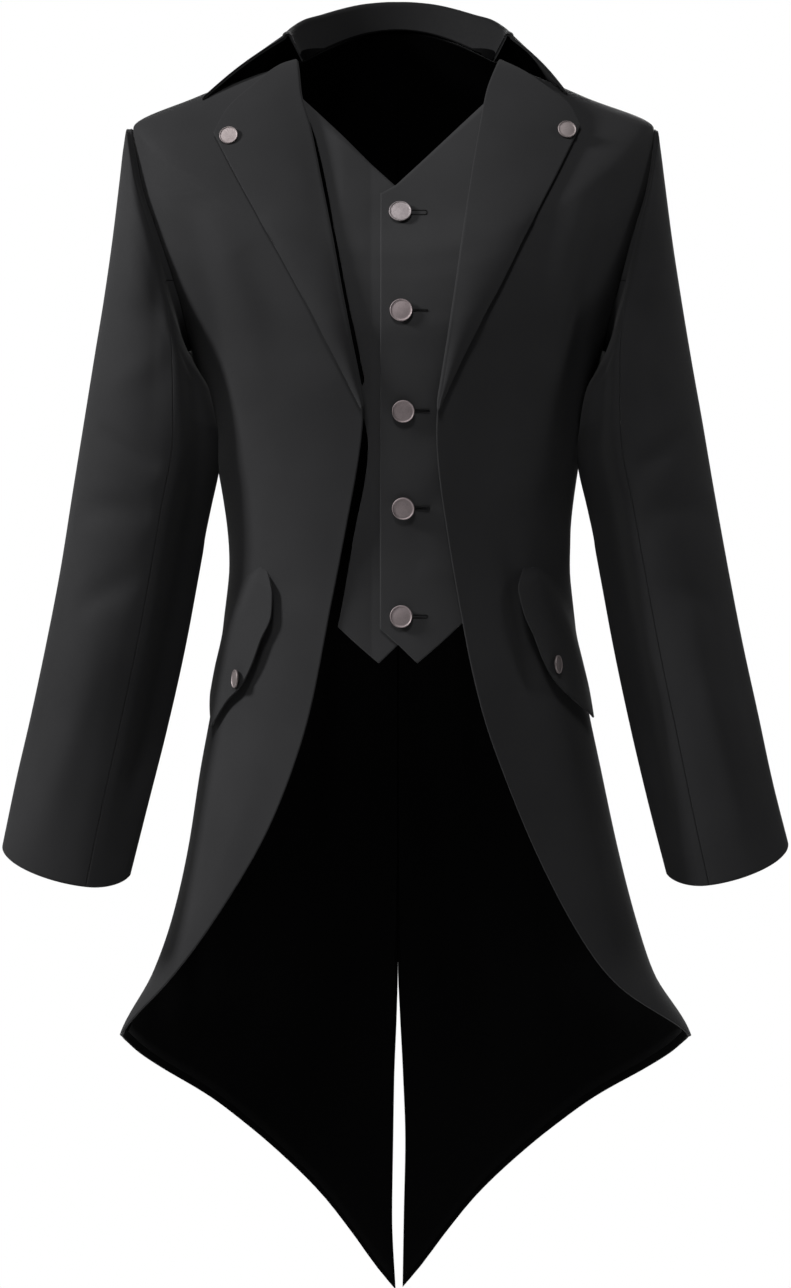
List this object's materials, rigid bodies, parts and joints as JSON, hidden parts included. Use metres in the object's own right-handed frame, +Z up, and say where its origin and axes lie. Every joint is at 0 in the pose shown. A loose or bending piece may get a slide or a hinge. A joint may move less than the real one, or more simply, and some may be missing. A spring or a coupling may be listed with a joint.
{
  "type": "tailcoat",
  "caption": "Long-sleeved black tailcoat, cut away in front over a sewn-in buttoned waistcoat, with notched lapels, slanted pocket flaps and two pointed tails.",
  "frame": {"origin": "at neck height, midway between the two shoulder seams' neck ends, where the coat bears on the wearer", "axes": "+Z up, along the coat's length; -Y toward the front; +X toward the wearer's left"},
  "size_m": [0.6561, 0.2941, 1.1203],
  "materials": {
    "coat_cloth": "matte smooth suiting",
    "lining_satin": "black satin",
    "pewter": "satin pewter"
  },
  "bodies": {
    "root": {"front_right": "coat_cloth", "front_left": "coat_cloth", "back_right": "coat_cloth", "back_left": "coat_cloth", "tail_lining_right": "lining_satin", "tail_lining_left": "lining_satin", "waistcoat_right": "coat_cloth", "waistcoat_left": "coat_cloth", "lapel_right": "coat_cloth", "lapel_left": "coat_cloth", "pocket_flap_right": "coat_cloth", "pocket_flap_left": "coat_cloth", "upper_sleeve_right": "coat_cloth", "under_sleeve_right": "coat_cloth", "upper_sleeve_left": "coat_cloth", "under_sleeve_left": "coat_cloth", "collar": "coat_cloth", "waistcoat_button_1": "pewter", "waistcoat_button_2": "pewter", "waistcoat_button_3": "pewter", "waistcoat_button_4": "pewter", "waistcoat_button_5": "pewter", "lapel_button_right": "pewter", "lapel_button_left": "pewter", "flap_button_right": "pewter", "flap_button_left": "pewter"}
  },
  "joints": []
}
